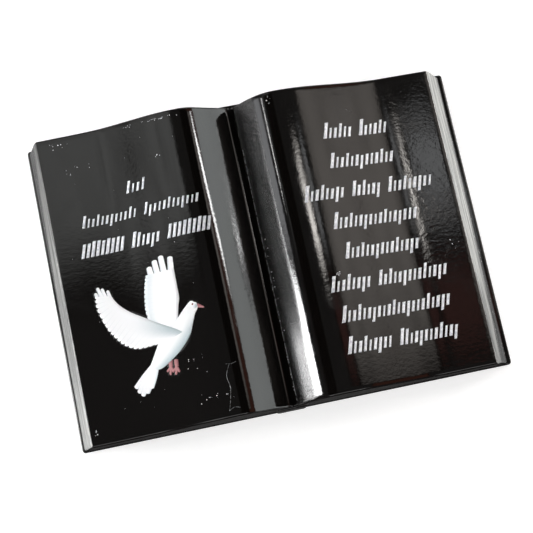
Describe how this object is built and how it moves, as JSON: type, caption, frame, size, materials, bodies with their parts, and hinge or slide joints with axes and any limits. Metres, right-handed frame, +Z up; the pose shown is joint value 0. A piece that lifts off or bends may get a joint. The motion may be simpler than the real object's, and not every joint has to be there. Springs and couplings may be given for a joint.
{
  "type": "open book headstone",
  "caption": "Small memorial cast as an open book lying face up, with two swelling pages, a gutter valley, leaf-lined edges, a thin cover and rows of raised marks.",
  "frame": {"origin": "on the ground, under the middle of the book's underside", "axes": "+X across the two pages towards the reader's right, +Y towards the head of the pages, +Z up out of the pages"},
  "size_m": [0.18, 0.1288, 0.0278],
  "materials": {
    "lacquered_resin": "gloss black lacquer over cast resin, with a fine orange-peel; fore-edges and inscription brushed with silver paint"
  },
  "bodies": {
    "root": {"open_book": "lacquered_resin"}
  },
  "joints": []
}
